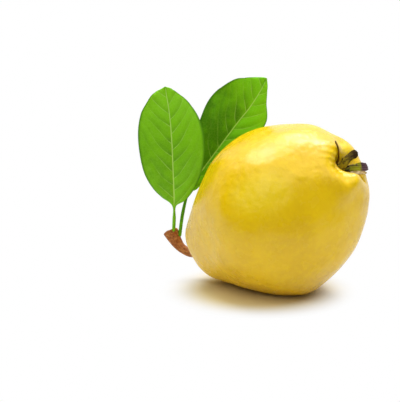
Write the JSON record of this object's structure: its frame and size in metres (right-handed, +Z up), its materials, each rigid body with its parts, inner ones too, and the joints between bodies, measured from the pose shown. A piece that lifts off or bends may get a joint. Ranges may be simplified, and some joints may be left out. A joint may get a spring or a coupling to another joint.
{
  "type": "quince",
  "caption": "Ripe quince lying on its side, with a short woody stalk, green leaves and dried sepals round the basin at its flower end.",
  "frame": {"origin": "centre of the small flat spot under the belly, on the floor", "axes": "+Z up; the fruit's core climbs towards +X, and its flower end swings towards -Y, the side it is seen from"},
  "size_m": [0.1155, 0.0894, 0.1046],
  "materials": {
    "skin": "waxy yellow fruit skin, satin",
    "wood": "rough orange-brown bark",
    "leaf_light": "fresh light green leaf, satin",
    "leaf_dark": "fresh deeper green leaf, satin",
    "sepal_brown": "dry dark brown, matt",
    "sepal_olive": "half-dry olive green with a dark tip, matt",
    "sepal_pale": "dry pale greyish brown, matt",
    "stamens": "dry blackish brown, matt"
  },
  "bodies": {
    "root": {"fruit": "skin", "stalk": "wood", "leaf_left": "leaf_light", "leaf_right": "leaf_dark", "sepal_top": "sepal_brown", "sepal_front": "sepal_olive", "sepal_low": "sepal_brown", "sepal_under": "sepal_pale", "sepal_back": "sepal_olive", "stamens": "stamens"}
  },
  "joints": []
}
